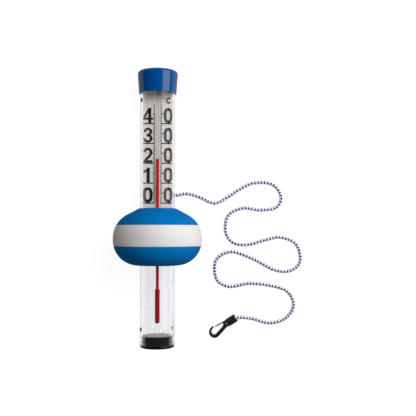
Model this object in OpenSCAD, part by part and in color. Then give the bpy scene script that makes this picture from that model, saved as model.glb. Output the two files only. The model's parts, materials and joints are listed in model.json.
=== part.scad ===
// Floating pool thermometer lying on its back: foam float on a clear tube, cap, scale plate,
// glass thermometer, end plug, braided cord and snap hook. Millimetres, Z up, the tube along Y.

/* [View] */

/* [Tube] */
// Overall length from plug foot to cap top
overall_length = 423; // [420:1:460]
// Outside diameter of the clear tube
tube_od = 53; // [52:0.5:54]
// Wall of the clear tube
tube_wall = 2.5; // [2:0.1:2.6]
// Diameter of the water holes round the foot and the vents under the cap
water_hole_d = 6.5; // [5:0.5:8]

/* [Cap and plug] */
// Height of the top cap
cap_length = 35; // [30:1:40]
// Largest diameter of the top cap
cap_d = 61.8; // [61:0.2:64]
// Rounding of the cap's top edge
cap_fillet = 5; // [3:0.5:6]
// Thickness of the end plug's flange
plug_flange = 4.5; // [4:0.5:6]

/* [Float] */
// Largest diameter of the foam float
float_d = 136; // [126:1:146]
// Height of the float's widest line above the plug foot
float_height = 162.5; // [158:0.5:170]
// Width of the light middle layer
band_width = 32; // [24:1:36]

/* [Thermometer] */
// Temperature shown, in degrees Celsius
reading = 17.2; // [0:0.1:30]
// Diameter of the glass stem
stem_d = 5; // [4.6:0.1:6.2]
// Diameter of the stem's bore
bore_d = 3.2; // [2.6:0.1:3.6]
// Width of the scale plate
plate_width = 47; // [42:0.2:47]

/* [Cord and hook] */
// Diameter of the braided cord
cord_d = 5.5; // [5:0.1:5.8]
// Thickness of the hook's flat body
hook_thickness = 5; // [4:0.1:6]
// Diameter of the hook's barrel
barrel_d = 13.4; // [12.8:0.2:14]

/* [Hidden] */

$fn = 96;

// Tube
tube_r = tube_od / 2;
tube_in_r = tube_r - tube_wall;
tube_top = overall_length - 3.5;
water_hole_z = 28;
water_hole_turn = 15.3;
vent_hole_z = 377;
cord_hole_z = 235;
cord_hole_r = 3;

// Cap
cap_r = cap_d / 2;
cap_rim_r = cap_r - 2.1;
cap_rim_z = overall_length - cap_length;
cap_arc_r = cap_r - cap_fillet;
cap_arc_z = overall_length - cap_fillet;
cap_rim_chamfer = 0.6;

// Float: a lower arc, a short upright wall, an upper arc and a straight slope to the flat top
float_r = float_d / 2;
lower_rho = 38;
upper_rho = 40;
lower_c = [float_r - lower_rho, float_height];
upper_c = [float_r - upper_rho, float_height + 4];
float_top = [tube_r + 1.9, float_height + 49];
top_reach = float_top - upper_c;
slope_angle = atan2(top_reach[1], top_reach[0]) - acos(upper_rho / norm(top_reach));
band_low = float_height - 0.27 * band_width;
band_high = band_low + band_width;
low_angle = asin((band_low - lower_c[1]) / lower_rho);
high_angle = asin((band_high - upper_c[1]) / upper_rho);
arc_steps = 12;

// Lying on its back on the float's upper arc and the cap's rounded edge
reach_z = cap_arc_z - upper_c[1];
reach_r = upper_c[0] - cap_arc_r;
lie_tilt = atan(reach_r / reach_z)
         + asin((upper_rho - cap_fillet) / sqrt(reach_z * reach_z + reach_r * reach_r));
lie_z = upper_rho + upper_c[0] * cos(lie_tilt) + upper_c[1] * sin(lie_tilt);
plug_r = tube_r - 0.5;
plug_round = 2.5;
y_high = cap_arc_z * cos(lie_tilt) + cap_arc_r * sin(lie_tilt) + cap_fillet;
y_low = plug_round * cos(lie_tilt) - (plug_r - plug_round) * sin(lie_tilt) - plug_round;
lie_y = -(y_high + y_low) / 2;

// Plug
plug_top = plug_flange + 13.7;
rib_pitch = 4.1;
rib_width = 2.8;
groove_depth = 1.4;
first_rib = 1.4;
plug_edge = 0.8;

// Scale plate and its two holder discs
plate_front = 3.2;
plate_thick = 1;
plate_low = 200;
lower_holder_low = 195;
lower_holder_high = 203;
upper_holder_low = overall_length - 19;
upper_holder_high = overall_length - 13;
plate_high = upper_holder_low + 3;
plate_corner = 2;
channel_half = 4.4;
channel_depth = 0.5;

// Glass and liquid
stem_r = stem_d / 2;
bore_r = bore_d / 2;
bulb_r = 3.7;
bulb_cavity_r = 3.2;
bulb_low = 36.3;
bulb_shoulder = 86;
bulb_neck = 90;
stem_top = overall_length - 15;
bore_top = stem_top - 4;
glass_end = 0.8;
zero_z = 235.1;
mm_per_degree = 3.07;
column_top = zero_z + reading * mm_per_degree;
column_gap = 0.04;

// Cord: a smooth line through these points; the last two are worked out from the hook
knot_r = 5;
knot_depth = 17;
cord_r = cord_d / 2;
cord_drop = [[1, 18, 21], [7, 16, 9.5]];
cord_floor = [[26, 14], [47, 17], [67, 12], [92, 2], [114, 12], [132, 24], [156, 35], [186, 33],
    [201, 13], [193, -5], [166, -9], [139, -6], [115, -18], [111, -45], [124, -63], [148, -66],
    [178, -58], [202, -54], [228, -66], [235, -95], [218, -110], [192, -108], [155, -89],
    [120, -78], [96, -92], [97, -123], [118, -136], [150, -131], [183, -134], [214, -144],
    [226, -168], [213, -190], [186, -198], [156, -190]];
cord_splits = 2;
cord_sides = 8;

// Hook: s runs from the barrel's mouth to the bend, w across, measured flat
hook_at = [129.2, -187.6];
hook_turn = 213.8;
hook_length = 52.2;
barrel_r = barrel_d / 2;
barrel_length = 12.4;
hook_tilt = atan((barrel_r - hook_thickness / 2) / hook_length);
window_c = [17.4, 0];
window_r = 2.8;
boss_r = 5.9;
boss_height = 9;
gate_pin = [19.2, -4.9];
gate_pin_r = 1.4;
gate_clear = 0.06;
gate_tip = [36.4, -5.8];
gate_root_half = 0.9;
gate_tip_half = 0.65;
gate_height = 3.6;
gate_open = 18;

function along(centre, rho, angle) = [centre[0] + rho * cos(angle), centre[1] + rho * sin(angle)];
function sweepArc(centre, rho, from, to) =
    [for (i = [0 : arc_steps]) along(centre, rho, from + (to - from) * i / arc_steps)];
function unit(v) = v / norm(v);

module lyingDown() {
    translate([0, lie_y, lie_z])
        rotate([-90 - lie_tilt, 0, 0])
            children();
}

// ---- tube, cap and plug ----

module clear_tube() {
    color([0.93, 0.96, 0.97, 0.35])
        lyingDown()
            difference() {
                translate([0, 0, plug_flange])
                    cylinder(h = tube_top - plug_flange, r = tube_r);
                translate([0, 0, plug_flange - 1])
                    cylinder(h = tube_top - plug_flange + 2, r = tube_in_r);
                for (hole = [[water_hole_z, 0], [water_hole_z, 90], [vent_hole_z, 90]])
                    translate([0, 0, hole[0]])
                        rotate([90, 0, water_hole_turn + hole[1]])
                            cylinder(h = tube_od + 4, d = water_hole_d, center = true);
                translate([0, 0, cord_hole_z])
                    rotate([-90, 0, 0])
                        cylinder(h = tube_r + 4, r = cord_hole_r);
            }
}

module top_cap() {
    outline = concat(
        [[tube_r, cap_rim_z], [cap_rim_r - cap_rim_chamfer, cap_rim_z],
         [cap_rim_r, cap_rim_z + cap_rim_chamfer]],
        sweepArc([cap_arc_r, cap_arc_z], cap_fillet, 0, 90),
        [[0, overall_length], [0, tube_top], [tube_r, tube_top]]);
    color([0.02, 0.25, 0.55])
        lyingDown()
            rotate_extrude()
                polygon(outline);
}

module end_plug() {
    rib_gap = rib_pitch - rib_width;
    groove_r = tube_in_r - groove_depth;
    outline = concat(
        [[0, 0]],
        sweepArc([plug_r - plug_round, plug_round], plug_round, -90, 0),
        [[plug_r, plug_flange], [tube_in_r, plug_flange]],
        [for (k = [0 : 2], p = [[tube_in_r, 0], [groove_r, 0], [groove_r, rib_gap], [tube_in_r, rib_gap]])
            [p[0], p[1] + plug_flange + first_rib + k * rib_pitch]],
        [[tube_in_r, plug_top - plug_edge], [tube_in_r - plug_edge, plug_top], [0, plug_top]]);
    color([0.07, 0.07, 0.08])
        lyingDown()
            rotate_extrude()
                polygon(outline);
}

// ---- scale, holders and glass thermometer ----

module plateOutline() {
    half = plate_width / 2;
    linear_extrude(height = plate_thick)
        polygon([[-half + plate_corner, plate_low], [half - plate_corner, plate_low],
                 [half, plate_low + plate_corner], [half, plate_high - plate_corner],
                 [half - plate_corner, plate_high], [-half + plate_corner, plate_high],
                 [-half, plate_high - plate_corner], [-half, plate_low + plate_corner]]);
}

module plateBody() {
    translate([0, plate_front + plate_thick, 0])
        rotate([90, 0, 0])
            plateOutline();
}

module scale_plate() {
    color([0.92, 0.91, 0.88])
        lyingDown()
            difference() {
                plateBody();
                translate([-channel_half, 0, plate_low - 1])
                    cube([2 * channel_half, plate_front + channel_depth, plate_high - plate_low + 2]);
            }
}

module holderDisc(low, high) {
    lyingDown()
        difference() {
            translate([0, 0, low])
                cylinder(h = high - low, r = tube_in_r);
            translate([0, 0, low - 1])
                cylinder(h = high - low + 2, r = stem_r);
            plateBody();
        }
}

module upper_holder() {
    color([0.9, 0.9, 0.88])
        holderDisc(upper_holder_low, upper_holder_high);
}

module lower_holder() {
    color([0.9, 0.9, 0.88])
        holderDisc(lower_holder_low, lower_holder_high);
}

module glass_stem() {
    low = bulb_low - (bulb_r - bulb_cavity_r);
    outer = concat(
        sweepArc([0, low + bulb_r], bulb_r, -90, 0),
        [[bulb_r, bulb_shoulder], [stem_r, bulb_neck]],
        sweepArc([stem_r - glass_end, stem_top - glass_end], glass_end, 0, 90),
        [[0, stem_top]]);
    inner = concat(
        [[0, bore_top + bore_r]],
        sweepArc([0, bore_top], bore_r, 80, 0),
        [[bore_r, bulb_neck], [bulb_cavity_r, bulb_shoulder]],
        sweepArc([0, bulb_low + bulb_cavity_r], bulb_cavity_r, 0, -80),
        [[0, bulb_low]]);
    color([0.9, 0.95, 0.95, 0.35])
        lyingDown()
            rotate_extrude()
                polygon(concat(outer, inner));
}

module bulb_liquid() {
    outline = concat(
        [[0, bulb_low]],
        sweepArc([0, bulb_low + bulb_cavity_r], bulb_cavity_r, -80, 0),
        [[bulb_cavity_r, bulb_shoulder], [bore_r, bulb_neck], [0, bulb_neck]]);
    color([0.6, 0.02, 0.05])
        lyingDown()
            rotate_extrude()
                polygon(outline);
}

module liquid_column() {
    color([0.75, 0.03, 0.08])
        lyingDown()
            translate([0, 0, bulb_neck])
                cylinder(h = column_top - bulb_neck, r = bore_r - column_gap);
}

// ---- foam float in three layers ----

module foamRing(side) {
    lyingDown()
        rotate_extrude()
            polygon(concat([[tube_r, side[0][1]]], side, [[tube_r, side[len(side) - 1][1]]]));
}

module float_lower() {
    color([0.03, 0.36, 0.68])
        foamRing(sweepArc(lower_c, lower_rho, -90, low_angle));
}

module float_band() {
    color([0.9, 0.9, 0.89])
        foamRing(concat(
            sweepArc(lower_c, lower_rho, low_angle, 0),
            sweepArc(upper_c, upper_rho, 0, high_angle)));
}

module float_upper() {
    color([0.03, 0.36, 0.68])
        foamRing(concat(
            sweepArc(upper_c, upper_rho, high_angle, slope_angle),
            [float_top]));
}

// ---- hook ----

module hookPose() {
    translate([hook_at[0], hook_at[1], barrel_r * cos(hook_tilt)])
        rotate([0, hook_tilt, hook_turn])
            children();
}

function hookPoint(s, w, h) = [
    hook_at[0] + (s * cos(hook_tilt) + h * sin(hook_tilt)) * cos(hook_turn) - w * sin(hook_turn),
    hook_at[1] + (s * cos(hook_tilt) + h * sin(hook_tilt)) * sin(hook_turn) + w * cos(hook_turn),
    barrel_r * cos(hook_tilt) - s * sin(hook_tilt) + h * cos(hook_tilt)];

// Middle line and half width of the hook's flat body, from the neck round the bend to the nose
hook_line = [[13, 0, 6.2], [16, 0.4, 6], [19, 1.4, 4.7], [21.5, 2.3, 3.7], [24, 3.15, 3.1],
    [28.5, 4.45, 3], [33, 5.8, 3], [37.5, 7.05, 3], [41, 8, 3], [43.4, 8.3, 3], [45.7, 7.9, 3],
    [47.7, 6.5, 2.85], [49, 4.6, 2.7], [49.65, 2.4, 2.55], [49.55, 0.2, 2.4], [48.85, -1.9, 2.25],
    [47.6, -3.8, 2.05], [45.7, -5.4, 1.85], [43.2, -6.4, 1.65], [40.8, -7, 1.4], [39.7, -7.1, 1.2]];
nose_end = [39.7, -7.1];
nose_end_r = 1.2;

function hookSide(i) =
    let (last = len(hook_line) - 1,
         from = hook_line[max(i - 1, 0)],
         to = hook_line[min(i + 1, last)],
         d = unit([to[0] - from[0], to[1] - from[1]]))
    [-d[1], d[0]];
function hookEdge(i, sign) =
    [hook_line[i][0], hook_line[i][1]] + sign * hook_line[i][2] * hookSide(i);

module hookOutline() {
    last = len(hook_line) - 1;
    polygon(concat([for (i = [0 : last]) hookEdge(i, 1)],
                   [for (i = [last : -1 : 0]) hookEdge(i, -1)]));
    translate(nose_end)
        circle(r = nose_end_r, $fn = 32);
}

module gateRoom() {
    aim = atan2(gate_tip[1] - gate_pin[1], gate_tip[0] - gate_pin[0]);
    half = gate_root_half + 0.3;
    translate(gate_pin)
        circle(r = gate_pin_r + gate_clear, $fn = 48);
    for (turn = [0 : 6 : gate_open])
        translate(gate_pin)
            rotate(aim + turn)
                translate([0, -half])
                    square([12, 2 * half]);
}

module hook_body() {
    half = hook_thickness / 2;
    color([0.08, 0.08, 0.09])
        hookPose()
            difference() {
                union() {
                    rotate([0, 90, 0])
                        rotate_extrude()
                            polygon([[0, 0], [barrel_r - 0.7, 0], [barrel_r, 0.7],
                                     [barrel_r, barrel_length - 1], [barrel_r - 1.2, barrel_length],
                                     [0, barrel_length]]);
                    translate([window_c[0], window_c[1], -boss_height / 2])
                        cylinder(h = boss_height, r = boss_r);
                    translate([0, 0, -half])
                        linear_extrude(height = hook_thickness)
                            hookOutline();
                }
                translate([-1, 0, 0])
                    rotate([0, 90, 0])
                        cylinder(h = window_c[0] + 1, r = cord_hole_r);
                translate([window_c[0], window_c[1], -boss_height / 2 - 1])
                    cylinder(h = boss_height + 2, r = window_r);
                translate([0, 0, -boss_height / 2 - 1])
                    linear_extrude(height = boss_height + 2)
                        gateRoom();
            }
}

module hook_gate() {
    d = unit(gate_tip - gate_pin);
    n = [-d[1], d[0]];
    aim = atan2(d[1], d[0]);
    neck = asin(gate_root_half / gate_pin_r);
    color([0.09, 0.09, 0.1])
        hookPose()
            translate([0, 0, -gate_height / 2])
                linear_extrude(height = gate_height)
                    polygon(concat(
                        sweepArc(gate_pin, gate_pin_r, aim + neck, aim + 360 - neck),
                        [gate_tip - gate_tip_half * n, gate_tip + 0.5 * (d - 0.6 * n),
                         gate_tip + 0.5 * (d + 0.6 * n), gate_tip + gate_tip_half * n]));
}

module hook_knot() {
    color([0.85, 0.86, 0.9])
        hookPose()
            translate([window_c[0], window_c[1], 0])
                sphere(r = window_r);
}

// ---- cord ----

module cord_knot() {
    color([0.85, 0.86, 0.9])
        lyingDown()
            translate([0, knot_depth, cord_hole_z])
                scale([1, 0.8, 1])
                    sphere(r = knot_r);
}

function tubePoint(back, z) = [0,
    lie_y + z * cos(lie_tilt) - back * sin(lie_tilt),
    lie_z - z * sin(lie_tilt) - back * cos(lie_tilt)];

cord_line = concat(
    [tubePoint(knot_depth, cord_hole_z), tubePoint(tube_r, cord_hole_z)],
    cord_drop,
    [for (p = cord_floor) [p[0], p[1], cord_r]],
    [hookPoint(0, 0, 0), hookPoint(13.6, 0, 0)]);
cord_last = len(cord_line) - 1;

function smooth(a, b, c, d, t) =
    0.5 * (2 * b + (c - a) * t + (2 * a - 5 * b + 4 * c - d) * t * t
        + (3 * b - a - 3 * c + d) * t * t * t);
function knotAt(i) = cord_line[max(0, min(cord_last, i))];
function lifted(p) = [p[0], p[1], max(p[2], cord_r)];
ring_c = concat(
    [for (i = [0 : cord_last - 1], k = [0 : cord_splits - 1])
        if (i > 1 || k == 0)
            lifted(smooth(knotAt(i - 1), knotAt(i), knotAt(i + 1), knotAt(i + 2), k / cord_splits))],
    [cord_line[cord_last]]);
ring_last = len(ring_c) - 1;

function heading(i) = unit(ring_c[min(i + 1, ring_last)] - ring_c[max(i - 1, 0)]);
function square_to(u, d) = unit(u - (u * d) * d);
function carried(i, u) =
    let (v = square_to(u, heading(i)))
    i == ring_last ? [v] : concat([v], carried(i + 1, v));
ring_u = carried(0, [1, 0, 0]);

module cord() {
    rings = [for (i = [0 : ring_last], k = [0 : cord_sides - 1])
        let (a = 360 * k / cord_sides, w = cross(heading(i), ring_u[i]))
        ring_c[i] + cord_r * (cos(a) * ring_u[i] + sin(a) * w)];
    walls = [for (i = [0 : ring_last - 1], k = [0 : cord_sides - 1])
        let (a = i * cord_sides + k, b = i * cord_sides + (k + 1) % cord_sides)
        each [[a, a + cord_sides, b], [b, a + cord_sides, b + cord_sides]]];
    first = [for (k = [0 : cord_sides - 1]) k];
    last = [for (k = [cord_sides - 1 : -1 : 0]) ring_last * cord_sides + k];
    color([0.85, 0.86, 0.9])
        polyhedron(points = rings, faces = concat(walls, [first, last]));
}

clear_tube();
top_cap();
scale_plate();
glass_stem();
bulb_liquid();
liquid_column();
upper_holder();
lower_holder();
float_upper();
float_band();
float_lower();
end_plug();
cord();
cord_knot();
hook_body();
hook_gate();
hook_knot();
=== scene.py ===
import json
import math

import bpy
import numpy as np
from mathutils import Matrix


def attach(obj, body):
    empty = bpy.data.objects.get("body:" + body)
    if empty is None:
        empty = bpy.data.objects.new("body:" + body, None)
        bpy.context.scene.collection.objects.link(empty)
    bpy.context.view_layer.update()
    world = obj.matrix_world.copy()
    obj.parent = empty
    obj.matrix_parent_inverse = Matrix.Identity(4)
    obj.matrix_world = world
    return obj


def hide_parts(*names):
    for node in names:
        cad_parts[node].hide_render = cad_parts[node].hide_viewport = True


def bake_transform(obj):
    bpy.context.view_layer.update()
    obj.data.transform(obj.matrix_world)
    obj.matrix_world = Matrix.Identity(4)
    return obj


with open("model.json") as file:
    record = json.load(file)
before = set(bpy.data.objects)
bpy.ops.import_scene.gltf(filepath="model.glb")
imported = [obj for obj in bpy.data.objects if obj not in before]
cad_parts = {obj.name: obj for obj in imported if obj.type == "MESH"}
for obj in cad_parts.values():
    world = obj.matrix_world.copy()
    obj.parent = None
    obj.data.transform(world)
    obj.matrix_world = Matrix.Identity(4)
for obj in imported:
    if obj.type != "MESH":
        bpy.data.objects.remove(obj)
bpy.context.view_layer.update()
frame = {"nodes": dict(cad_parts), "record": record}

scene = bpy.context.scene
mounts = {m["name"]: m for m in frame["record"]["mounts"]}
joints = {j["name"]: j for j in frame["record"]["behaviour"]["joints"]}

# places: the thermometer's own millimetres, and the hook's, turned into the row frame
foot = np.array(mounts["plug_foot"]["pos_m"])
upTube = -np.array(mounts["plug_foot"]["axis"])
front = np.array([0, -upTube[2], upTube[1]])


def lieDown(x, toFront, z):
    # foot + x across + z up the tube + toFront out of the printed face, in metres
    x, toFront, z = np.broadcast_arrays(x, toFront, z)
    across = np.array([1.0, 0, 0])
    return foot + (x[..., None] * across + toFront[..., None] * front + z[..., None] * upTube) / 1000


hookUp = np.array(mounts["hook_eye"]["axis"])
eyeS, eyeW = 43.3, 1.3
pinS, pinW = 19.2, -4.9
eyeAt = np.array(mounts["hook_eye"]["pos_m"]) * 1000
pinAt = np.array(joints["gate_hinge"]["pos_m"]) * 1000
reach = eyeAt - pinAt
hookAlong = (eyeS - pinS) * reach - (eyeW - pinW) * np.cross(hookUp, reach)
hookAlong /= np.linalg.norm(hookAlong)
hookAcross = np.cross(hookUp, hookAlong)
hookMouth = eyeAt - eyeS * hookAlong - eyeW * hookAcross


def onHook(s, w, h):
    # mouth + s along the hook + w across it + h up, in metres
    s, w, h = np.broadcast_arrays(s, w, h)
    return (hookMouth + s[..., None] * hookAlong + w[..., None] * hookAcross + h[..., None] * hookUp) / 1000


# camera
cameraSet = {"distance": 1.106, "height": 175.5, "lens": 62.3, "right": 50.5 / 720, "up": 24 / 720}


def makeCamera():
    data = bpy.data.cameras.new("camera")
    data.lens = cameraSet["lens"]
    data.clip_end = 30
    camera = bpy.data.objects.new("camera", data)
    scene.collection.objects.link(camera)
    aim = -front + np.array([1.0, 0, 0]) * cameraSet["right"] + upTube * cameraSet["up"]
    aim /= np.linalg.norm(aim)
    right = np.cross(aim, upTube)
    right /= np.linalg.norm(right)
    above = np.cross(right, aim)
    turn = np.eye(4)
    turn[:3, 0], turn[:3, 1], turn[:3, 2] = right, above, -aim
    turn[:3, 3] = lieDown(0, 0, cameraSet["height"]) + cameraSet["distance"] * front
    camera.matrix_world = Matrix(turn.tolist())
    scene.camera = camera


makeCamera()
print("camera placed")


# cord: a smooth line through these points, millimetres, from the knot to the hook's bore
cordSet = {
    "radius": 2.75, "lead": 15.9, "yarns": 12, "sides": 32, "step": 0.8,
    "holeHeight": 235, "knotDepth": 17, "tubeRadius": 26.5, "hookDepth": 13.6,
    "drop": [[1, 18, 21], [7, 16, 9.5]],
    "floor": [[26, 14], [47, 17], [67, 12], [92, 2], [114, 12], [132, 24], [156, 35], [186, 33],
              [201, 13], [193, -5], [166, -9], [139, -6], [115, -18], [111, -45], [124, -63],
              [148, -66], [178, -58], [202, -54], [228, -66], [235, -95], [218, -110], [192, -108],
              [155, -89], [120, -78], [96, -92], [97, -123], [118, -136], [150, -131], [183, -134],
              [214, -144], [226, -168], [213, -190], [186, -198], [156, -190]],
}


knotSet = {"stopperRadius": 1.95, "stopperSpread": 1.0, "hookAt": 17.2, "hookLow": 0.5, "hookRadius": 1.05,
           "hookSpread": 0.48}


# mesh helpers
def gridMesh(name, grid, alongClosed=False, capped=False, uv=None):
    # grid[i, j] is row i along the shape, column j around it; caps join each end ring to its middle
    rows, cols = grid.shape[:2]
    i = np.arange(rows if alongClosed else rows - 1)[:, None]
    j = np.arange(cols)[None, :]
    i2, j2 = (i + 1) % rows, (j + 1) % cols
    quads = np.stack([i * cols + j, i * cols + j2, i2 * cols + j2, i2 * cols + j], -1).reshape(-1, 4)
    points = grid.reshape(-1, 3)
    faces = quads.tolist()
    if capped:
        ring = np.arange(cols)
        nextRing = (ring + 1) % cols
        ends = np.stack([grid[0].mean(0), grid[-1].mean(0)])
        first, last = len(points), len(points) + 1
        points = np.concatenate([points, ends])
        faces += np.stack([nextRing, ring, np.full(cols, first)], -1).tolist()
        start = (rows - 1) * cols
        faces += np.stack([start + ring, start + nextRing, np.full(cols, last)], -1).tolist()
    return shell(name, points, faces, quads if uv is not None else None, uv)


def shell(name, points, faces, quads=None, uv=None):
    # turns the faces round where the enclosed volume comes out negative
    sizes = sorted({len(f) for f in faces})
    corners = np.concatenate([np.array([f for f in faces if len(f) == n])[:, [0, k, k + 1]]
                              for n in sizes for k in range(1, n - 1)])
    a, b, c = points[corners[:, 0]], points[corners[:, 1]], points[corners[:, 2]]
    inside = np.einsum("ij,ij->i", a - points[0], np.cross(b - points[0], c - points[0])).sum() < 0
    if inside:
        faces = [f[::-1] for f in faces]
    mesh = bpy.data.meshes.new(name)
    mesh.from_pydata(points, [], faces)
    if uv is not None:
        layer = mesh.uv_layers.new(name="along")
        loops = np.zeros((len(mesh.loops), 2))
        flat = uv[:, ::-1] if inside else uv
        loops[:flat.size // 2] = flat.reshape(-1, 2)
        layer.data.foreach_set("uv", loops.ravel())
    mesh.shade_smooth()
    mesh.update()
    piece = bpy.data.objects.new(name, mesh)
    scene.collection.objects.link(piece)
    return piece


def revolve(name, radius, height, place=lieDown, around=160):
    # a closed outline turned about the tube's axis: (radius x sin, radius x cos, height) at each angle
    turn = np.linspace(0, 2 * np.pi, around, endpoint=False)[None, :]
    r, z = np.asarray(radius, float)[:, None], np.asarray(height, float)[:, None]
    grid = place(r * np.sin(turn), r * np.cos(turn), z + 0 * turn)
    return gridMesh(name, grid, alongClosed=True)


def rounded(outline, radii, steps=6):
    # each corner of a closed outline becomes a quadratic curve that starts its radius away from the corner
    p = np.array(outline, float)
    r = np.broadcast_to(np.array(radii, float), len(p))[:, None]
    before, after = np.roll(p, 1, 0) - p, np.roll(p, -1, 0) - p
    lenB, lenA = np.linalg.norm(before, axis=1)[:, None], np.linalg.norm(after, axis=1)[:, None]
    a = p + before / lenB * np.minimum(r, lenB * 0.49)
    b = p + after / lenA * np.minimum(r, lenA * 0.49)
    t = np.linspace(0, 1, steps)[None, :, None]
    curve = (1 - t) ** 2 * a[:, None] + 2 * t * (1 - t) * p[:, None] + t ** 2 * b[:, None]
    return curve.reshape(-1, 2)


def arc(centre, rho, start, end, steps):
    # centre + rho x (cos, sin) from the start angle to the end angle, in degrees
    a = np.radians(np.linspace(start, end, steps))
    return np.stack([centre[0] + rho * np.cos(a), centre[1] + rho * np.sin(a)], -1)


def denser(outline, step, closed=True):
    # extra points along the long straight runs of an outline: start + (end - start) x k / count
    p = np.asarray(outline, float)
    ends = np.concatenate([p, p[:1]]) if closed else p
    counts = np.maximum(1, np.ceil(np.linalg.norm(np.diff(ends, axis=0), axis=1) / step).astype(int))
    runs = [a + (b - a) * (np.arange(n) / n)[:, None] for a, b, n in zip(ends[:-1], ends[1:], counts)]
    return np.concatenate(runs if closed else runs + [p[-1:]])


def cutWith(piece, cutters):
    # takes each cutter's solid out of the piece, then removes the cutters
    for k, cutter in enumerate(cutters):
        cut = piece.modifiers.new(f"cut{k}", "BOOLEAN")
        cut.operation, cut.object, cut.solver = "DIFFERENCE", cutter, "EXACT"
    tree = bpy.context.evaluated_depsgraph_get()
    mesh = bpy.data.meshes.new_from_object(piece.evaluated_get(tree))
    piece.modifiers.clear()
    piece.data = mesh
    for cutter in cutters:
        bpy.data.objects.remove(cutter)


def drill(name, place, radius, start, end, around=48):
    # a round bar from start to end; place turns (x, y, z) into the row frame with z along the bar
    turn = np.linspace(0, 2 * np.pi, around, endpoint=False)[None, :]
    z = np.array([start, end], float)[:, None]
    return gridMesh(name, place(radius * np.sin(turn) + 0 * z, radius * np.cos(turn) + 0 * z, z + 0 * turn),
                    capped=True)


# material helpers
def hexLinear(code):
    # sRGB hex to linear colour
    v = np.array([int(code[k:k + 2], 16) / 255 for k in (1, 3, 5)])
    return (*np.where(v <= 0.04045, v / 12.92, ((v + 0.055) / 1.055) ** 2.4).tolist(), 1.0)


def add(tree, kind, inputs=(), **settings):
    # adds one node; inputs maps a socket to a value or to another node's output
    node = tree.nodes.new(kind)
    for key, value in settings.items():
        setattr(node, key, value)
    for key, value in dict(inputs).items():
        if isinstance(value, bpy.types.NodeSocket):
            tree.links.new(value, node.inputs[key])
        else:
            node.inputs[key].default_value = value
    return node


def ramp(tree, fac, stops):
    node = add(tree, "ShaderNodeValToRGB", {0: fac})
    for k, (at, colour) in enumerate(stops):
        stop = node.color_ramp.elements[k] if k < 2 else node.color_ramp.elements.new(at)
        stop.position, stop.color = at, colour
    return node.outputs[0]


def newMaterial(name):
    made = bpy.data.materials.new(name)
    made.use_nodes = True
    made.node_tree.nodes.clear()
    tree = made.node_tree
    where = add(tree, "ShaderNodeTexCoord").outputs["Object"]
    return made, tree, where


def finish(tree, surface):
    add(tree, "ShaderNodeOutputMaterial", {"Surface": surface})


def grainy(tree, where, low, high, scale, detail=3.0, spread=(0.35, 0.65)):
    # colour that drifts between two tones, scale in waves per metre
    noise = add(tree, "ShaderNodeTexNoise", {"Vector": where, "Scale": scale, "Detail": detail})
    return ramp(tree, noise.outputs["Fac"], [(spread[0], low), (spread[1], high)])


def bumpy(tree, height, depth, strength=1.0):
    return add(tree, "ShaderNodeBump", {"Height": height, "Distance": depth, "Strength": strength}).outputs[0]


def ranged(tree, value, low, high, inLow=0.3, inHigh=0.7):
    return add(tree, "ShaderNodeMapRange", {0: value, 1: inLow, 2: inHigh, 3: low, 4: high}).outputs[0]


def foamMaterial(name, low, high):
    # closed-cell foam, sliced and ground round: dull, with fine open cells and a faint uneven tone
    made, tree, where = newMaterial(name)
    cells = add(tree, "ShaderNodeTexVoronoi", {"Vector": where, "Scale": 1 / 0.0016})
    grit = add(tree, "ShaderNodeTexNoise", {"Vector": where, "Scale": 1 / 0.0011, "Detail": 4.0})
    height = add(tree, "ShaderNodeMath", {0: cells.outputs["Distance"], 1: grit.outputs["Fac"]}, operation="ADD")
    colour = grainy(tree, where, hexLinear(low), hexLinear(high), 1 / 0.0022, 5.0, (0.3, 0.7))
    surface = add(tree, "ShaderNodeBsdfPrincipled", {
        "Base Color": colour, "Roughness": 0.9, "Specular IOR Level": 0.06,
        "Normal": bumpy(tree, height.outputs[0], 0.0003, 0.35)})
    finish(tree, surface.outputs[0])
    return made


def clearMaterial(name, tint, ior, streak):
    # clear moulded or drawn stock: faint lines along its length; lamps shine straight through it
    made, tree, where = newMaterial(name)
    stretch = add(tree, "ShaderNodeMapping", {"Vector": where, "Scale": (1, 0.02, 1)})
    lines = add(tree, "ShaderNodeTexNoise", {"Vector": stretch.outputs[0], "Scale": streak, "Detail": 2.0})
    glass = add(tree, "ShaderNodeBsdfPrincipled", {
        "Base Color": hexLinear(tint), "Transmission Weight": 1.0, "IOR": ior, "Roughness": 0.0,
        "Normal": bumpy(tree, lines.outputs["Fac"], 0.000004, 0.1)})
    through = add(tree, "ShaderNodeBsdfTransparent", {"Color": hexLinear("#fdfdfe")})
    lamp = add(tree, "ShaderNodeLightPath")
    mix = add(tree, "ShaderNodeMixShader", {0: lamp.outputs["Is Shadow Ray"], 1: glass.outputs[0],
                                            2: through.outputs[0]})
    finish(tree, mix.outputs[0])
    return made


def mouldedMaterial(name, low, high, rough, coat=0.0, bump=0.00004, grain=0.0009, tone=0.02, dust=0.0):
    # injection-moulded plastic: even colour, slight flow tone, and a fine skin texture in the gloss
    made, tree, where = newMaterial(name)
    colour = grainy(tree, where, hexLinear(low), hexLinear(high), 1 / tone)
    skin = add(tree, "ShaderNodeTexNoise", {"Vector": where, "Scale": 1 / grain, "Detail": 3.0})
    wear = add(tree, "ShaderNodeTexNoise", {"Vector": where, "Scale": 1 / 0.011, "Detail": 4.0})
    surface = add(tree, "ShaderNodeBsdfPrincipled", {
        "Base Color": colour, "Roughness": ranged(tree, wear.outputs["Fac"], rough * 0.8, rough * 1.25),
        "Coat Weight": coat, "Coat Roughness": 0.06, "Sheen Weight": dust, "Sheen Roughness": 0.35,
        "Normal": bumpy(tree, skin.outputs["Fac"], bump, 0.5)})
    finish(tree, surface.outputs[0])
    return made


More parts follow.
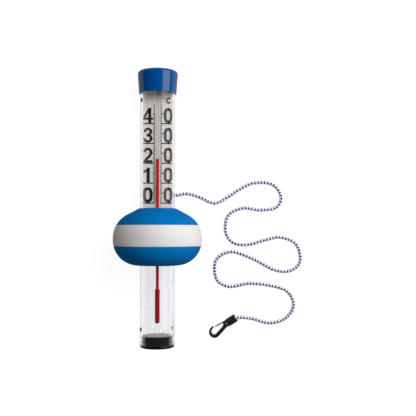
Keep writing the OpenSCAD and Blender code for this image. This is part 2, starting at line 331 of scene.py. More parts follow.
def liquidMaterial(name, low, high):
    # dyed spirit: deep and clean, as it is seen through the glass it fills; the bulb's copy is given darker reds,
    # painted shade
    made, tree, where = newMaterial(name)
    colour = grainy(tree, where, hexLinear(low), hexLinear(high), 1 / 0.03)
    surface = add(tree, "ShaderNodeBsdfPrincipled", {
        "Base Color": colour, "Roughness": 0.35, "Specular IOR Level": 0.1,
        "Subsurface Weight": 0.15, "Subsurface Radius": (0.004, 0.0006, 0.0006), "Subsurface Scale": 0.5})
    finish(tree, surface.outputs[0])
    return made


def inkMaterial():
    # screen-printed ink: flat black with tiny pinholes
    made, tree, where = newMaterial("screenInk")
    colour = grainy(tree, where, hexLinear("#0c0a0a"), hexLinear("#151212"), 1 / 0.0008)
    finish(tree, add(tree, "ShaderNodeBsdfPrincipled", {"Base Color": colour, "Roughness": 0.55}).outputs[0])
    return made


def braidMaterial():
    # polyester braid, white with navy picks: each crossing yarn bulges, soft sheen, filaments along each yarn
    # one and two count the yarns of the two helices; three by three crossings are navy, eight rows apart
    made, tree, where = newMaterial("polyesterBraid")
    lay = add(tree, "ShaderNodeSeparateXYZ", {0: add(tree, "ShaderNodeUVMap", uv_map="along").outputs[0]})

    def maths(kind, a, b=0.0):
        return add(tree, "ShaderNodeMath", {0: a, 1: b}, operation=kind).outputs[0]

    def nearest(value, middle, period):
        # distance to the closest of middle, middle + period, ...
        shifted = maths("FLOORED_MODULO", maths("ADD", value, period / 2 - middle), float(period))
        return maths("ABSOLUTE", maths("SUBTRACT", shifted, period / 2))

    one = maths("MULTIPLY", maths("ADD", lay.outputs[0], lay.outputs[1]), float(cordSet["yarns"]))
    two = maths("MULTIPLY", maths("SUBTRACT", lay.outputs[0], lay.outputs[1]), float(cordSet["yarns"]))
    floorOne, floorTwo = maths("FLOOR", one), maths("FLOOR", two)
    both, apart = maths("ADD", floorOne, floorTwo), maths("SUBTRACT", floorOne, floorTwo)
    navyHere = maths("LESS_THAN", maths("ADD", nearest(both, 5, 6), nearest(apart, 1, 8)), 2.5)
    onTop = maths("FLOORED_MODULO", maths("FLOOR", maths("MULTIPLY", both, 0.5)), 2.0)
    middleOne, middleTwo = (maths("SUBTRACT", maths("FRACT", v), 0.5) for v in (one, two))
    width = add(tree, "ShaderNodeMix", {"Factor": onTop, 2: middleOne, 3: middleTwo}).outputs[0]
    length = add(tree, "ShaderNodeMix", {"Factor": onTop, 2: middleTwo, 3: middleOne}).outputs[0]
    crown = maths("ADD", maths("MULTIPLY", maths("POWER", maths("ABSOLUTE", width), 2.0), -3.2),
                 maths("MULTIPLY", maths("POWER", maths("ABSOLUTE", length), 2.0), -1.6))
    fibre = maths("SINE", maths("MULTIPLY", width, 2 * math.pi * 5))
    speck = add(tree, "ShaderNodeTexNoise", {"Vector": where, "Scale": 1 / 0.0004, "Detail": 2.0}).outputs["Fac"]
    tone = ranged(tree, maths("ADD", maths("MULTIPLY", fibre, 0.1), speck), 0.0, 1.0, 0.2, 0.8)
    white = ramp(tree, tone, [(0.0, hexLinear("#eff0f5")), (1.0, hexLinear("#ffffff"))])
    navy = ramp(tree, tone, [(0.0, hexLinear("#07127a")), (1.0, hexLinear("#13259a"))])
    colour = add(tree, "ShaderNodeMix", {"Factor": navyHere, 6: white, 7: navy}, data_type="RGBA")
    relief = maths("ADD", crown, maths("MULTIPLY", fibre, 0.06))
    surface = add(tree, "ShaderNodeBsdfPrincipled", {
        "Base Color": colour.outputs[2], "Roughness": 0.7, "Specular IOR Level": 0.2, "Sheen Weight": 0.15,
        "Sheen Roughness": 0.4, "Normal": bumpy(tree, relief, 0.0002, 0.6)})
    finish(tree, surface.outputs[0])
    return made


clearAcrylic = clearMaterial("extrudedAcrylic", "#f8f7f9", 1.49, 900.0)
clearGlass = clearMaterial("drawnGlass", "#fefefb", 1.47, 1500.0)
blueFoam = foamMaterial("blueClosedCellFoam", "#0072bc", "#017ac6")
whiteFoam = foamMaterial("whiteClosedCellFoam", "#e6e5e3", "#eeedeb")
glossyBlue = mouldedMaterial("glossBlueAbs", "#004c93", "#00529d", 0.1, coat=0.25, bump=0.00001,
                             grain=0.004)
whitePlate = mouldedMaterial("satinWhiteStyrene", "#f1ece3", "#f6f2ea", 0.45)
paleHolder = mouldedMaterial("mouldedWhiteNylon", "#d4d3cf", "#dfded9", 0.5)
blackRubber = mouldedMaterial("blackStopperRubber", "#0f0d0e", "#181617", 0.3, grain=0.0007,
                              bump=0.00003, dust=0.35)
blackNylon = mouldedMaterial("blackMouldedNylon", "#282223", "#332c2d", 0.38, grain=0.0006, bump=0.00006)
boreSpirit = liquidMaterial("dyedSpiritThin", "#dc0c20", "#e40e24")
# the bulb's spirit: the same dye in darker reds, painted shade
bulbSpirit = liquidMaterial("dyedSpiritPaintedShade", "#a8091b", "#b00b1f")
printInk = inkMaterial()
braid = braidMaterial()
print("materials made")


def settle(piece, material, slot, body, *nodes):
    # one material, the record's slot (not used), the body it moves with and the nodes it stands for
    piece.data.materials.clear()
    piece.data.materials.append(material)
    if body:
        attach(piece, body)
    if nodes:
        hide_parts(*nodes)
    return piece


# cord
def evenPath(path, step):
    # the same line with its points the same distance apart
    run = np.concatenate([[0], np.cumsum(np.linalg.norm(np.diff(path, axis=0), axis=1))])
    at = np.linspace(0, run[-1], int(round(run[-1] / step)) + 1)
    return np.stack([np.interp(at, run, path[:, k]) for k in range(3)], -1)


def smoothLine(points, splits=24):
    # Catmull-Rom curve: each span is a cubic in t from its two ends and one neighbour on either side
    p = np.array(points, float)
    a, b, c, d = (p[np.clip(np.arange(len(p) - 1) + k, 0, len(p) - 1)][:, None] for k in (-1, 0, 1, 2))
    t = (np.arange(splits) / splits)[None, :, None]
    curve = 0.5 * (2 * b + (c - a) * t + (2 * a - 5 * b + 4 * c - d) * t ** 2
                   + (3 * b - a - 3 * c + d) * t ** 3)
    return np.concatenate([curve.reshape(-1, p.shape[1]), p[-1:]])


def braidedTube(name, path, radius, measures, closed=False):
    # a round tube along the path: ring centre + radius x (cos x side + sin x above)
    # u runs round it, v counts leads along it
    heading = np.roll(path, -1, 0) - np.roll(path, 1, 0) if closed else np.gradient(path, axis=0)
    heading /= np.linalg.norm(heading, axis=1)[:, None]
    side = np.stack([-heading[:, 1], heading[:, 0], np.zeros(len(path))], -1)
    side /= np.linalg.norm(side, axis=1)[:, None]
    above = np.cross(heading, side)
    gaps = np.linalg.norm(np.diff(path, axis=0), axis=1)
    run = np.concatenate([[0], np.cumsum(gaps)])
    lead = measures["lead"] * radius / measures["radius"]
    if closed:
        total = run[-1] + np.linalg.norm(path[-1] - path[0])
        lead = total / max(1, round(total / lead))
    sides = measures["sides"]
    v = run / lead
    angle = 2 * np.pi * (np.arange(sides) / sides)[None, :, None]
    grid = path[:, None] + radius * (np.cos(angle) * side[:, None] + np.sin(angle) * above[:, None])
    rows = len(path) if closed else len(path) - 1
    vNext = np.concatenate([v[1:], [v[-1] + gaps[-1] / lead]])
    corner = np.zeros((rows, sides, 4, 2))
    corner[..., 0] = (np.arange(sides)[None, :, None] + np.array([0, 1, 1, 0])) / sides
    corner[..., 1] = np.where(np.array([0, 0, 1, 1]) == 0, v[:rows, None, None], vNext[:rows, None, None])
    return gridMesh(name, grid / 1000, alongClosed=closed, capped=not closed, uv=corner.reshape(-1, 4, 2))


def makeCord():
    start = lieDown(0, -cordSet["knotDepth"], cordSet["holeHeight"]) * 1000
    hole = lieDown(0, -cordSet["tubeRadius"], cordSet["holeHeight"]) * 1000
    mouth = onHook(0, 0, 0) * 1000
    inside = onHook(cordSet["hookDepth"], 0, 0) * 1000
    low = cordSet["radius"]
    points = [start, hole, *cordSet["drop"], *([x, y, low] for x, y in cordSet["floor"]), mouth, inside]
    line = smoothLine(points)
    line[:, 2] = np.maximum(line[:, 2], low)
    path = evenPath(line, cordSet["step"])
    piece = braidedTube("braidedCord", path, cordSet["radius"], cordSet)
    length = np.linalg.norm(np.diff(path, axis=0), axis=1).sum() / 1000
    return piece, path / 1000, hole / 1000, length


def makeKnot(name, place, radius, spread):
    # a trefoil loop, the cord pulled tight on itself: sin t + 2 sin 2t, cos t - 2 cos 2t, -1.4 sin 3t
    t = np.linspace(0, 2 * np.pi, 90, endpoint=False)
    x, y, z = np.sin(t) + 2 * np.sin(2 * t), np.cos(t) - 2 * np.cos(2 * t), -1.4 * np.sin(3 * t)
    path = place(x * spread, y * spread, z * spread) * 1000
    return braidedTube(name, path, radius, {**cordSet, "sides": 24}, closed=True)


cordPiece, cordPath, cordExit, cordLength = makeCord()
settle(cordPiece, braid, "cord_braid", "body", "cord")
stopperKnot = settle(
    makeKnot("stopperKnot", lambda x, y, z: lieDown(x, -cordSet["knotDepth"] + z, cordSet["holeHeight"] + y),
             knotSet["stopperRadius"], knotSet["stopperSpread"]), braid, "cord_braid", "body", "cord_knot")
hookKnot = settle(
    makeKnot("hookKnot", lambda x, y, z: onHook(knotSet["hookAt"] + x, y, z - knotSet["hookLow"]),
             knotSet["hookRadius"], knotSet["hookSpread"]), braid, "cord_braid", "body", "hook_knot")
print("cord length", round(cordLength, 4))

# clear tube
tubeSet = {"outer": 26.5, "inner": 24.0, "low": 4.5, "high": 419.4, "edge": 0.5,
           "waterRadius": 3.25, "waterTurn": 15.3, "waterHeight": 28, "ventHeight": 377,
           "cordRadius": 3.0, "drillReach": 30}


def makeTube():
    outline = denser(rounded([[tubeSet["inner"], tubeSet["low"]], [tubeSet["outer"], tubeSet["low"]],
                              [tubeSet["outer"], tubeSet["high"]], [tubeSet["inner"], tubeSet["high"]]],
                             tubeSet["edge"], 4), 5.0)
    tube = revolve("clearTube", outline[:, 0], outline[:, 1], around=176)

    def sideHole(height, degrees):
        turn = math.radians(degrees)
        return lambda x, y, z: lieDown(x * math.cos(turn) + z * math.sin(turn),
                                       z * math.cos(turn) - x * math.sin(turn), height + y)

    def cordHole(x, y, z):
        return lieDown(x, -z, cordSet["holeHeight"] + y)

    water, turn, r = tubeSet["waterHeight"], tubeSet["waterTurn"], tubeSet["waterRadius"]
    far = tubeSet["drillReach"]
    holes = [(water, turn), (water, turn + 90), (tubeSet["ventHeight"], turn + 90)]
    bars = [drill(f"bar{k}", sideHole(height, degrees), r, -far, far)
            for k, (height, degrees) in enumerate(holes)]
    cutWith(tube, bars + [drill("cordBar", cordHole, tubeSet["cordRadius"], far / 2, far)])
    tube.data.set_sharp_from_angle(angle=math.radians(35))
    return settle(tube, clearAcrylic, "clear_tube", "body", "clear_tube")


makeTube()
print("tube made")

# glossy cap and ribbed plug
capSet = {"rim": 28.8, "top": 30.9, "bore": 26.56, "low": 388.0, "high": 423.0, "ceiling": 419.5, "fillet": 5.0}
plugSet = {"flange": 26.0, "thick": 4.5, "spigot": 23.94, "groove": 22.6, "top": 18.2, "firstRib": 1.4,
           "pitch": 4.1, "gap": 1.3}


def makeCap():
    outer = np.concatenate([
        rounded([[capSet["rim"] - 1.4, capSet["low"]], [capSet["rim"], capSet["low"]],
                 [capSet["rim"] + 0.25, capSet["low"] + 3]], [0.01, 0.7, 0.01], 7)[7:14],
        arc((capSet["top"] - capSet["fillet"], capSet["high"] - capSet["fillet"]), capSet["fillet"], 0, 90, 20)])
    inner = [[0.02, capSet["high"]], [0.02, capSet["ceiling"]], [capSet["bore"] - 0.4, capSet["ceiling"]],
             [capSet["bore"], capSet["ceiling"] - 0.4], [capSet["bore"], capSet["low"] + 0.5],
             [capSet["bore"] + 0.5, capSet["low"]]]
    outline = denser(np.concatenate([outer, inner]), 6.0)
    cap = revolve("glossCap", outline[:, 0], outline[:, 1], around=192)
    return settle(cap, glossyBlue, "blue_cap", "body", "top_cap")


def makePlug():
    low = plugSet["thick"] + plugSet["firstRib"]
    side = [[0.02, 0], [plugSet["flange"], 0], [plugSet["flange"], plugSet["thick"]],
            [plugSet["spigot"], plugSet["thick"]]]
    radii = [0.01, 2.5, 0.4, 0.1]
    for k in range(3):
        z = low + k * plugSet["pitch"]
        side += [[plugSet["spigot"], z], [plugSet["groove"], z + 0.2],
                 [plugSet["groove"], z + plugSet["gap"] - 0.2], [plugSet["spigot"], z + plugSet["gap"]]]
        radii += [0.45, 0.35, 0.35, 0.45]
    side += [[plugSet["spigot"], plugSet["top"]], [0.02, plugSet["top"]]]
    radii += [0.9, 0.01]
    outline = rounded(side, radii, 6)
    plug = revolve("ribbedPlug", outline[:, 0], outline[:, 1], around=176)
    return settle(plug, blackRubber, "black_plug", "body", "end_plug")


makeCap()
makePlug()
print("cap and plug made")

# foam float: three bonded layers, millimetres up the tube
floatSet = {"bore": 26.62, "lowCentre": (30, 162.5), "lowRho": 38.0, "highCentre": (28, 166.5), "highRho": 40.0,
            "topPoint": (28.4, 211.5), "bandLow": 153.86, "bandHigh": 185.86, "slope": 62.2, "seam": 0.7,
            "uneven": 0.16, "around": 220}


def makeFoamLayer(name, side, material, slot, node):
    # the layer's outer curve closed along the bore, its edges ground round; its radius is then less by
    # uneven x (1 + three sines of the turn and the height), fading out towards the bore
    whole = np.concatenate([[[floatSet["bore"], side[0][1]]], side, [[floatSet["bore"], side[-1][1]]]])
    radii = np.full(len(whole), 0.02)
    radii[[0, -1]] = 0.8
    radii[[1, -2]] = floatSet["seam"]
    keep = np.linalg.norm(np.roll(whole, -1, 0) - whole, axis=1) > 0.05
    outline = denser(rounded(whole[keep], radii[keep], 4), 2.2)
    turn = np.linspace(0, 2 * np.pi, floatSet["around"], endpoint=False)[None, :]
    r, z = outline[:, 0][:, None], outline[:, 1][:, None]
    outside = np.clip((r - floatSet["bore"] - 1.5) / 6, 0, 1)
    wave = (np.sin(3 * turn + 0.21 * z) * 0.5 + np.sin(7 * turn - 0.37 * z + 1.3) * 0.3
            + np.sin(13 * turn + 0.83 * z + 2.1) * 0.2)
    r = r - floatSet["uneven"] * outside * (1 + wave)
    grid = lieDown(r * np.sin(turn), r * np.cos(turn), z + 0 * turn)
    layer = gridMesh(name, grid, alongClosed=True)
    settle(layer, material, slot, "body", node)
    return layer


def makeFloat():
    low, high = floatSet["lowCentre"], floatSet["highCentre"]
    lowTurn = math.degrees(math.asin((floatSet["bandLow"] - low[1]) / floatSet["lowRho"]))
    highTurn = math.degrees(math.asin((floatSet["bandHigh"] - high[1]) / floatSet["highRho"]))
    lower = arc(low, floatSet["lowRho"], -90, lowTurn, 28)
    band = np.concatenate([arc(low, floatSet["lowRho"], lowTurn, 0, 8),
                           arc(high, floatSet["highRho"], 0, highTurn, 12)])
    upper = np.concatenate([arc(high, floatSet["highRho"], highTurn, floatSet["slope"], 14),
                            [floatSet["topPoint"]]])
    makeFoamLayer("foamLower", lower, blueFoam, "blue_foam", "float_lower")
    makeFoamLayer("foamBand", band, whiteFoam, "white_foam", "float_band")
    makeFoamLayer("foamUpper", upper, blueFoam, "blue_foam", "float_upper")


makeFloat()
print("float made")

# glass thermometer: stem and bulb, with its liquid a hair larger than the bore it wets
stemSet = {"radius": 2.4, "bore": 1.6, "bulb": 3.7, "cavity": 3.2, "low": 35.8, "cavityLow": 36.3,
           "shoulder": 86.0, "neck": 90.0, "neckShare": 0.75, "top": 408.0, "boreTop": 404.0,
           "columnTop": 287.9, "wet": 0.03, "around": 96}


def makeGlass():
    # two skins turned about the axis: the drawn outside, and the bore that opens into the bulb
    shoulder, neck, bulb, cavity = (stemSet[k] for k in ("shoulder", "neck", "bulb", "cavity"))
    neckBore = stemSet["bore"] * stemSet["neckShare"]
    outer = np.concatenate([
        arc((0, stemSet["low"] + bulb), bulb, -89, 0, 16),
        [[bulb, shoulder - 0.6], [bulb - 0.1, shoulder + 0.6],
         [bulb - 0.35, shoulder + 1.7], [stemSet["radius"] - 0.05, neck - 1.0],
         [stemSet["radius"] - 0.1, neck], [stemSet["radius"], neck + 1.4]],
        arc((stemSet["radius"] - 0.8, stemSet["top"] - 0.8), 0.8, 0, 90, 6), [[0.01, stemSet["top"]]]])
    inner = np.concatenate([
        arc((0, stemSet["boreTop"]), stemSet["bore"], 89, 0, 8),
        [[stemSet["bore"], neck + 1.6], [neckBore, neck + 0.5],
         [neckBore, neck - 0.4], [cavity - 0.7, shoulder + 1.7],
         [cavity - 0.15, shoulder + 0.6], [cavity, shoulder - 0.6]],
        arc((0, stemSet["cavityLow"] + cavity), cavity, 0, -89, 14)])
    around = stemSet["around"]
    return joinShells("glassStem", openRevolve("stemOutside", outer, around),
                      openRevolve("stemInside", inner, around))


def openRevolve(name, outline, around):
    # an outline that starts and ends by the axis, turned into a closed skin with a middle point at each end
    turn = np.linspace(0, 2 * np.pi, around, endpoint=False)[None, :]
    line = denser(outline, 8.0, closed=False)
    r, z = line[:, 0][:, None], line[:, 1][:, None]
    return gridMesh(name, lieDown(r * np.sin(turn), r * np.cos(turn), z + 0 * turn), capped=True)


def joinShells(name, outside, inside):
    # the inner skin faces its hollow, so its faces are turned round before the two become one mesh
    meshes = []
    for piece, turned in ((outside, False), (inside, True)):
        points = np.empty(len(piece.data.vertices) * 3)
        piece.data.vertices.foreach_get("co", points)
        faces = [list(f.vertices)[::-1] if turned else list(f.vertices) for f in piece.data.polygons]
        meshes.append((points.reshape(-1, 3), faces))
        bpy.data.objects.remove(piece)
    shift = len(meshes[0][0])
    mesh = bpy.data.meshes.new(name)
    mesh.from_pydata(np.concatenate([meshes[0][0], meshes[1][0]]), [],
                     meshes[0][1] + [[v + shift for v in f] for f in meshes[1][1]])
    mesh.shade_smooth()
    mesh.update()
    piece = bpy.data.objects.new(name, mesh)
    scene.collection.objects.link(piece)
    return piece


def makeLiquids():
    # the bulb's spirit ends where the column's starts; both stand a little into the glass
    wet, shoulder, neck, columnTop = (stemSet[k] for k in ("wet", "shoulder", "neck", "columnTop"))
    cavity, bore, neckBore = stemSet["cavity"], stemSet["bore"], stemSet["bore"] * stemSet["neckShare"]
    bulb = np.concatenate([
        arc((0, stemSet["cavityLow"] + cavity), cavity + wet, -89, 0, 14),
        [[cavity + wet, shoulder - 0.6], [cavity - 0.15 + wet, shoulder + 0.6],
         [cavity - 0.7 + wet, shoulder + 1.7], [neckBore + wet, neck - 0.4], [0.02, neck - 0.39]]])
    column = np.array([[0.02, neck - 0.4], [neckBore + wet, neck - 0.4], [neckBore + wet, neck + 0.5],
                       [bore + wet, neck + 1.6], [bore + wet, columnTop], [bore * 0.6, columnTop - 0.25],
                       [0.02, columnTop - 0.35]])
    settle(openRevolve("bulbSpirit", bulb, 64), bulbSpirit, "red_liquid", "body", "bulb_liquid")
    columnPiece = settle(openRevolve("columnSpirit", column, 48), boreSpirit, "red_liquid", None, "liquid_column")
    tuple(lieDown(0, 0, neck + 2.0).tolist())
    tuple(lieDown(0, 0, columnTop - 2.0).tolist())
    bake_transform(columnPiece)


settle(makeGlass(), clearGlass, "glass", "body", "glass_stem")
makeLiquids()
print("glass made")

# printed scale
printSet = {"plateFront": -3.2, "thick": 0.08, "zero": 235.1, "degree": 3.07, "lowest": -5, "highest": 44,
            "leftDigit": -15.3, "rightDigit": 16.3, "digitDrop": 2.8, "dotLeft": -5.25, "dotRight": 5.4,
            "dotWidth": 2.5, "dotWidthRight": 1.5, "dotHeight": 2.0, "lineThick": 1.9,
            "tickLeft": 7.6, "tickRight": 8.7, "lineReach": 23.2, "leftWide": 1.05, "rightWide": 0.97,
            "digitTall": 1.04, "unitHeight": 378.4, "letterAcross": 17.0, "ringAcross": 9.9}


def digitOutlines():
    # millimetres from each digit's middle; curves are ellipse arcs, the nought two superellipses
    t = np.radians(np.arange(0, 360, 5))

    def oval(halfX, halfY, power):
        c, s = np.cos(t), np.sin(t)
        return np.stack([halfX * np.sign(c) * np.abs(c) ** (2 / power),
                         halfY * np.sign(s) * np.abs(s) ** (2 / power)], -1)

    def bow(cx, cy, rx, ry, start, end, steps=18):
        a = np.radians(np.linspace(start, end, steps))
        return np.stack([cx + rx * np.cos(a), cy + ry * np.sin(a)], -1)

    one = [[-1.7, -11], [3.1, -11], [3.1, 11], [-0.6, 11], [-1.4, 9.4], [-3, 7.8], [-4.9, 6.9], [-6.6, 6.5],
           [-6.6, 2.9], [-4.5, 3.3], [-2.9, 4.1], [-1.7, 5]]
    two = np.concatenate([
        bow(0, 4.2, 6.9, 6.8, 183, -14),
        [[5.7, -0.2], [3.9, -2.8], [1.4, -5.2], [-1.4, -7.5], [6.8, -7.5], [6.8, -11],
         [-7, -11], [-6.7, -9.3], [-5.4, -7], [-3, -4.4], [0.2, -1.6], [2, 0.6]],
        bow(0, 4.2, 2.7, 3.2, -35, 183)])
    three = np.concatenate([
        bow(0, 5.2, 6.6, 5.8, 190, -12), [[5.5, 2.2], [3.9, 0.8], [5.4, -0.5]],
        bow(0, -4.9, 7.1, 6.1, 35, -188), bow(0, -4.9, 2.9, 2.75, 187, 360), bow(0, -4.9, 2.9, 3.0, 0, 100, 9),
        [[-1.9, -1.7], [-1.9, 1.3]], bow(0, 5.0, 2.5, 3.0, -80, 187)])
    four = [[-7.7, -6.6], [-7.7, -3.5], [0.8, 11.1], [5, 11.1], [5, -3.4], [7.7, -3.4], [7.7, -6.6], [5, -6.6],
            [5, -11.1], [0.6, -11.1], [0.6, -6.6]]
    fourHole = [[-3.8, -3.4], [0.6, -3.4], [0.6, 4.4]]
    return {0: [oval(7.4, 11.2, 2.7), oval(2.8, 7.1, 2.5)], 1: [one], 2: [two], 3: [three], 4: [four, fourHole]}


def makePrint():
    # every mark is a flat outline on the plate; the letter and ring are arcs of constant width
    loops = []

    def bar(left, right, low, high):
        loops.append([[left, low], [right, low], [right, high], [left, high]])

    half = printSet["lineThick"] / 2
    digits = digitOutlines()
    for degree in range(printSet["lowest"], printSet["highest"] + 1):
        z = printSet["zero"] + printSet["degree"] * degree
        for x, way, wide, tick in ((printSet["dotLeft"], -1, printSet["dotWidth"], printSet["tickLeft"]),
                                   (printSet["dotRight"], 1, printSet["dotWidthRight"], printSet["tickRight"])):
            inner, outer = x - way * wide / 2, x + way * wide / 2
            if degree % 10 == 0:
                outer = way * tick
            if degree % 10 == 5:
                outer = way * printSet["lineReach"]
            tall = half if degree % 5 == 0 else printSet["dotHeight"] / 2
            bar(min(inner, outer), max(inner, outer), z - tall, z + tall)
        if degree % 10 == 0:
            for x, wide, figure in ((printSet["leftDigit"], printSet["leftWide"], degree // 10),
                                    (printSet["rightDigit"], printSet["rightWide"], 0)):
                for loop in digits[figure]:
                    loops.append(np.array(loop) * [wide, printSet["digitTall"]] + [x, z - printSet["digitDrop"]])
    letter = [printSet["letterAcross"], printSet["unitHeight"]]
    ring = (printSet["ringAcross"], printSet["unitHeight"] + 3.2)
    outside = arc((0, 0), 1, 40, 320, 30) * [4.4, 4.9] + letter
    inside = arc((0, 0), 1, 320, 40, 30) * [1.8, 2.3] + letter
    loops += [np.concatenate([outside, inside]), arc(ring, 1.5, 0, 340, 18), arc(ring, 0.75, 0, 340, 18)]

    curve = bpy.data.curves.new("scalePrint", "CURVE")
    curve.dimensions, curve.fill_mode, curve.extrude = "2D", "BOTH", printSet["thick"] / 2
    for loop in loops:
        spline = curve.splines.new("POLY")
        spline.points.add(len(loop) - 1)
        flat = np.zeros((len(loop), 4))
        flat[:, :2], flat[:, 3] = loop, 1
        spline.points.foreach_set("co", flat.ravel())
        spline.use_cyclic_u = True
    drawn = bpy.data.objects.new("scaleDrawing", curve)
    scene.collection.objects.link(drawn)
    tree = bpy.context.evaluated_depsgraph_get()
    mesh = bpy.data.meshes.new_from_object(drawn.evaluated_get(tree))
    bpy.data.objects.remove(drawn)
    co = np.empty(len(mesh.vertices) * 3)
    mesh.vertices.foreach_get("co", co)
    co = co.reshape(-1, 3)
    lift = printSet["plateFront"] + printSet["thick"] / 2 - 0.01
    mesh.vertices.foreach_set("co", lieDown(co[:, 0], lift + co[:, 2], co[:, 1]).ravel())
    mesh.update()
    piece = bpy.data.objects.new("scalePrint", mesh)
    scene.collection.objects.link(piece)
    return settle(piece, printInk, "white_plate", "body")


makePrint()
print("scale printed")

# snap hook: s along it, w across, half width, half height
hookSet = {
    "line": [[11, 0, 6.3, 6.0], [13.2, 0, 6.25, 5.4], [15.5, 0, 6.15, 4.9], [18, 0.1, 5.95, 4.5],
             [19.8, 0.6, 5.3, 4.2], [21.3, 1.4, 4.4, 3.8], [22.8, 2.4, 3.5, 3.2], [24.5, 3.25, 3.1, 2.7],
             [28.5, 4.45, 3, 2.5], [33, 5.8, 3, 2.5], [37.5, 7.05, 3, 2.5], [41, 8, 3, 2.5],
             [43.4, 8.3, 3, 2.5], [45.7, 7.9, 3, 2.5], [47.7, 6.5, 2.85, 2.5],
             [49, 4.6, 2.7, 2.5], [49.65, 2.4, 2.55, 2.45], [49.55, 0.2, 2.4, 2.4], [48.85, -1.9, 2.25, 2.35],
             [47.6, -3.8, 2.05, 2.25], [45.7, -5.4, 1.85, 2.15], [43.2, -6.4, 1.65, 2], [41, -6.95, 1.45, 1.8],
             [39.6, -7.1, 1.2, 1.5], [38.9, -7.1, 0.9, 1.1], [38.55, -7.1, 0.45, 0.6]],
    "gate": [[18.0, -4.84, 0.9, 1.8], [22, -5.05, 0.88, 1.8], [28, -5.36, 0.8, 1.8], [34, -5.68, 0.7, 1.75],
             [36.3, -5.8, 0.62, 1.6], [36.9, -5.83, 0.3, 1.0]],
    "barrel": 6.7, "barrelLength": 12.4, "bore": 2.95, "window": (17.4, 0.0), "windowRadius": 2.8,
    "swing": 18, "swept": 12, "clear": 1.25, "roomHalf": 6.0,
}


def hookSweep(name, line, power, around=40, splits=5):
    # a rounded-oblong section carried along the line, its half sizes blended between the stations:
    # out and up are each half size x sign x |cos or sin| to the power 2 / power
    path = smoothLine(line, splits)
    heading = np.gradient(path[:, :2], axis=0)
    heading /= np.linalg.norm(heading, axis=1)[:, None]
    turn = np.linspace(0, 2 * np.pi, around, endpoint=False)[None, :]
    c, s = np.cos(turn), np.sin(turn)
    out = np.sign(c) * np.abs(c) ** (2 / power) * path[:, 2:3]
    up = np.sign(s) * np.abs(s) ** (2 / power) * path[:, 3:4]
    return gridMesh(name, onHook(path[:, 0:1] - heading[:, 1:2] * out, path[:, 1:2] + heading[:, 0:1] * out, up),
                    capped=True)


def makeHook():
    body = hookSweep("hookShank", hookSet["line"], 3.4)
    gate = hookSweep("hookGate", hookSet["gate"], 3.0, 28)
    windowS, windowW = hookSet["window"]
    aim = math.atan2(-0.9, 17.2)

    def swept(degrees, way):
        # pin + swept x (cos, sin) of the gate's angle, moved clear to one side of it
        turn = aim + math.radians(degrees)
        return [pinS + hookSet["swept"] * math.cos(turn) - hookSet["clear"] * math.sin(turn) * way,
                pinW + hookSet["swept"] * math.sin(turn) + hookSet["clear"] * math.cos(turn) * way]

    swing = hookSet["swing"]
    room = np.array([[pinS - 1.4, pinW], [pinS, pinW - 1.5], swept(0, -1), swept(swing, -1), swept(swing, 1)])
    levels = np.array([-1, 1])[:, None] * hookSet["roomHalf"]
    roomPiece = gridMesh("gateRoom", onHook(room[:, 0] + 0 * levels, room[:, 1] + 0 * levels,
                                            levels + 0 * room[:, 0]), capped=True)
    cutWith(body, [drill("windowBar", lambda x, y, z: onHook(windowS + x, windowW + y, z),
                         hookSet["windowRadius"], -7, 7),
                   drill("boreBar", lambda x, y, z: onHook(z, x, y), hookSet["bore"], 9, windowS), roomPiece])
    body.data.set_sharp_from_angle(angle=math.radians(40))
    outline = rounded([[hookSet["bore"], 0], [hookSet["barrel"], 0], [hookSet["barrel"], hookSet["barrelLength"]],
                       [6.0, hookSet["barrelLength"] + 0.4], [hookSet["bore"], hookSet["barrelLength"] + 0.4]],
                      [0.8, 0.7, 0.8, 0.2, 0.1], 6)
    barrel = revolve("hookBarrel", outline[:, 0], outline[:, 1], place=lambda x, y, z: onHook(z, x, y), around=96)
    settle(body, blackNylon, "black_hook", "body", "hook_body")
    settle(barrel, blackNylon, "black_hook", "body", "hook_body")
    settle(gate, blackNylon, "black_hook", "gate", "hook_gate")
    return body, barrel, gate


hookShank, hookBarrel, hookGate = makeHook()
print("hook made")

# nodes that stay as they are, with better materials
kept = {"scale_plate": whitePlate, "upper_holder": paleHolder, "lower_holder": paleHolder}
for node, material in kept.items():
    target = frame["nodes"][node]
    target = bpy.data.objects[target] if isinstance(target, str) else target
    for holder in target.material_slots:
        holder.material = material

# floor and studio light
studioSet = {
    "key": {"turn": 51, "lift": 12, "distance": 1.3, "width": 1.05, "length": 1.3, "radiance": 2.1, "seen": True},
    "fill": {"turn": 20, "lift": 22, "distance": 1.6, "width": 0.8, "length": 0.8, "radiance": 6.6, "seen": False},
    "sky": 0.1, "floorColour": "#747474", "floorGlow": 0.93, "floorBounce": 0.3,
    "floorHalf": 4, "aimHeight": 200.0,
}


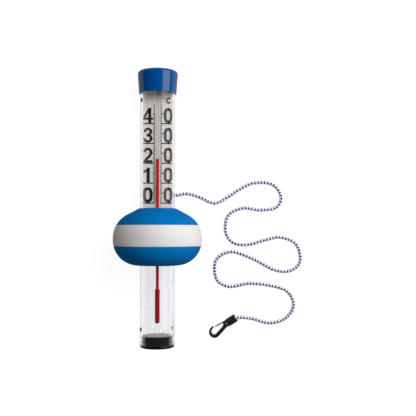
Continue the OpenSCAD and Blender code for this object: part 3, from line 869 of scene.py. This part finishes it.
def makeFloor():
    mesh = bpy.data.meshes.new("floor")
    half = studioSet["floorHalf"]
    mesh.from_pydata([(-half, -half, 0), (half, -half, 0), (half, half, 0), (-half, half, 0)], [], [(0, 1, 2, 3)])
    floor = bpy.data.objects.new("floor", mesh)
    scene.collection.objects.link(floor)
    # matt paper sweep: plain white to the eye and through the glass, with soft shadows and a low bounce
    made, tree, _ = newMaterial("whiteSweep")
    path = add(tree, "ShaderNodeLightPath")
    seen = add(tree, "ShaderNodeMath", {0: path.outputs["Is Camera Ray"], 1: path.outputs["Is Transmission Ray"]},
               operation="MAXIMUM").outputs[0]
    surface = add(tree, "ShaderNodeBsdfPrincipled", {
        "Base Color": hexLinear(studioSet["floorColour"]), "Roughness": 0.9, "Specular IOR Level": 0.0,
        "Emission Color": (1, 1, 1, 1),
        "Emission Strength": ranged(tree, seen, studioSet["floorBounce"], studioSet["floorGlow"], 0.0, 1.0)})
    finish(tree, surface.outputs[0])
    mesh.materials.append(made)


def makeLamp(name, lamp):
    # a soft box: turn degrees from the printed face towards +X, lift degrees towards the cap
    turn, lift = math.radians(lamp["turn"]), math.radians(lamp["lift"])
    level = math.sin(turn) * np.array([1.0, 0, 0]) + math.cos(turn) * front
    away = math.cos(lift) * level + math.sin(lift) * upTube
    data = bpy.data.lights.new(name, "AREA")
    data.shape, data.size, data.size_y = "RECTANGLE", lamp["width"], lamp["length"]
    data.energy = lamp["radiance"] * math.pi * lamp["width"] * lamp["length"]
    made = bpy.data.objects.new(name, data)
    scene.collection.objects.link(made)
    side = np.cross(upTube, away)
    side /= np.linalg.norm(side)
    place = np.eye(4)
    place[:3, 0], place[:3, 1], place[:3, 2] = side, np.cross(away, side), away
    place[:3, 3] = lieDown(0, 0, studioSet["aimHeight"]) + lamp["distance"] * away
    made.matrix_world = Matrix(place.tolist())
    made.visible_glossy = lamp["seen"]
    made.visible_transmission = False


def makeStudio():
    makeFloor()
    makeLamp("keySoftbox", studioSet["key"])
    makeLamp("frontFill", studioSet["fill"])
    world = bpy.data.worlds.new("studio")
    world.use_nodes = True
    scene.world = world
    back = world.node_tree.nodes["Background"]
    back.inputs[0].default_value = (1, 1, 1, 1)
    # white backdrop to the eye, a weak even sky to everything it lights
    path = add(world.node_tree, "ShaderNodeLightPath")
    strength = ranged(world.node_tree, path.outputs["Is Camera Ray"], studioSet["sky"], 1.0, 0.0, 1.0)
    world.node_tree.links.new(strength, back.inputs[1])
    world.cycles_visibility.glossy = False
    scene.view_settings.view_transform = "Standard"


makeStudio()
print("studio lit")
